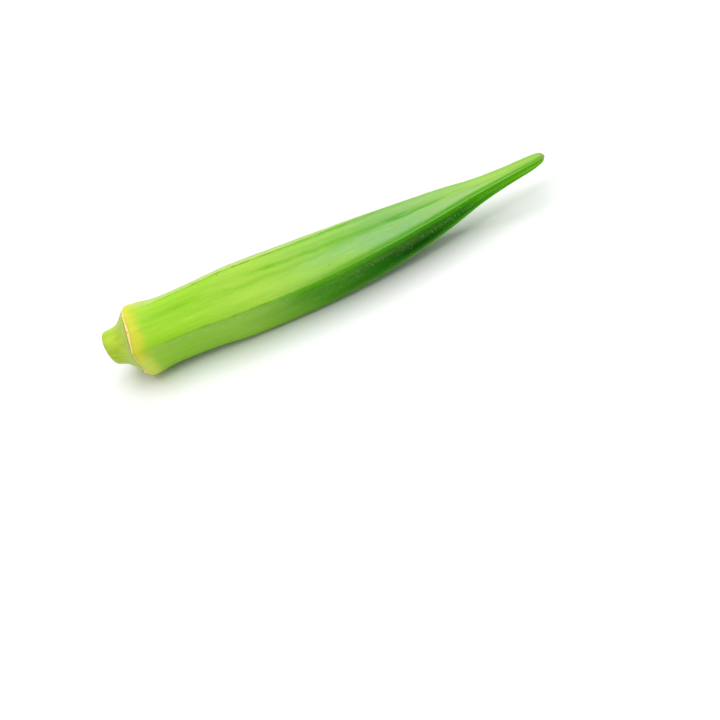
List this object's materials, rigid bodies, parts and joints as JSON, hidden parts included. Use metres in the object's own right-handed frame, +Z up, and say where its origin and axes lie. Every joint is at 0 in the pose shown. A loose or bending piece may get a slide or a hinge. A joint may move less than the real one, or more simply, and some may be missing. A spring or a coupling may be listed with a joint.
{
  "type": "okra pod",
  "caption": "Fresh okra pod lying on its side: a ridged green fruit that tapers to a pointed tip, with a tan calyx ring and a short cut stalk.",
  "frame": {"origin": "middle of the bounding box in X and Y, on the surface the pod rests on", "axes": "+X from the cut stalk towards the pointed tip, +Z up, -Y the side that shows the middle ridge"},
  "size_m": [0.1228, 0.02, 0.0196],
  "materials": {
    "okra_skin": "fresh green plant skin, satin, with fine pale hairs on the ridges; yellow collar, tan calyx ring and pale cut stalk"
  },
  "bodies": {
    "root": {"okra_pod": "okra_skin"}
  },
  "joints": []
}
